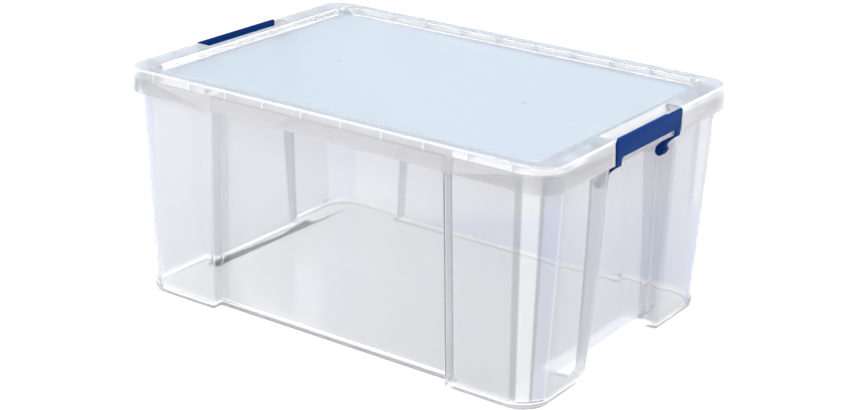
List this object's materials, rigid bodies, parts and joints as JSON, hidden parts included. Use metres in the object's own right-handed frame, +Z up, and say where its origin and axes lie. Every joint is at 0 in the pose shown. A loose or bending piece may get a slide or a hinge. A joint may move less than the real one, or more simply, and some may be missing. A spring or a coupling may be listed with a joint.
{
  "type": "storage box",
  "caption": "Clear lidded storage box with recessed walls and a hinged navy clip at each end that locks the lid and frames a hand slot.",
  "frame": {"origin": "centre of the base, on the surface the box stands on", "axes": "+Z up, +X along the length towards the right-hand clip, +Y across the width towards the back"},
  "size_m": [0.643, 0.443, 0.304],
  "materials": {
    "clear_tub": "clear polypropylene, slightly milky with a cool tint, glossy",
    "clear_lid": "clear polypropylene with a fine satin panel, cool tint",
    "navy_clip": "opaque navy moulded plastic, satin"
  },
  "bodies": {
    "tub": {"tub": "clear_tub"},
    "lid": {"lid": "clear_lid"},
    "clip_right": {"clip_right": "navy_clip"},
    "clip_left": {"clip_left": "navy_clip"}
  },
  "joints": [
    {"name": "lid_lift", "type": "slide", "parent": "tub", "child": "lid", "axis": [0, 0, 1], "range_m": [0, 0.35]},
    {"name": "clip_right_hinge", "type": "hinge", "parent": "tub", "child": "clip_right", "pos_m": [0.3, 0, 0.2465], "axis": [0, 1, 0], "range_deg": [0, 140]},
    {"name": "clip_left_hinge", "type": "hinge", "parent": "tub", "child": "clip_left", "pos_m": [-0.3, 0, 0.2465], "axis": [0, -1, 0], "range_deg": [0, 140]}
  ]
}
